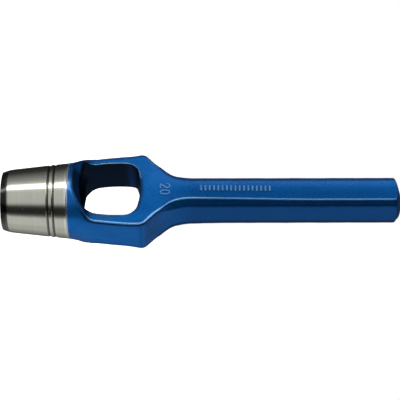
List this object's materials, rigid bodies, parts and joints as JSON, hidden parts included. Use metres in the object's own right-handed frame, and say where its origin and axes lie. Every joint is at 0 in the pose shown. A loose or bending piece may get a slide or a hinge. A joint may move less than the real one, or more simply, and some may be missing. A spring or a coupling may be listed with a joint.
{
  "type": "arch punch",
  "caption": "Struck hand punch with a bevelled ring-shaped cutting edge, an open arch that lets cut discs out, and a faceted shank.",
  "frame": {"origin": "centre of the cutting edge, on the plane that the edge stands on", "axes": "+Z along the tool from the cutting edge to the struck end; X across the arch; Y through the arch window, with the raised size number on the -Y face"},
  "size_m": [0.0328, 0.0268, 0.14],
  "materials": {
    "ground_steel": "turned and ground bright, with a darker bevel at the cutting edge",
    "blue_lacquer": "glossy deep blue lacquer over a drop-forged surface"
  },
  "bodies": {
    "root": {"cutting_tube": "ground_steel", "forged_body": "blue_lacquer"}
  },
  "joints": []
}
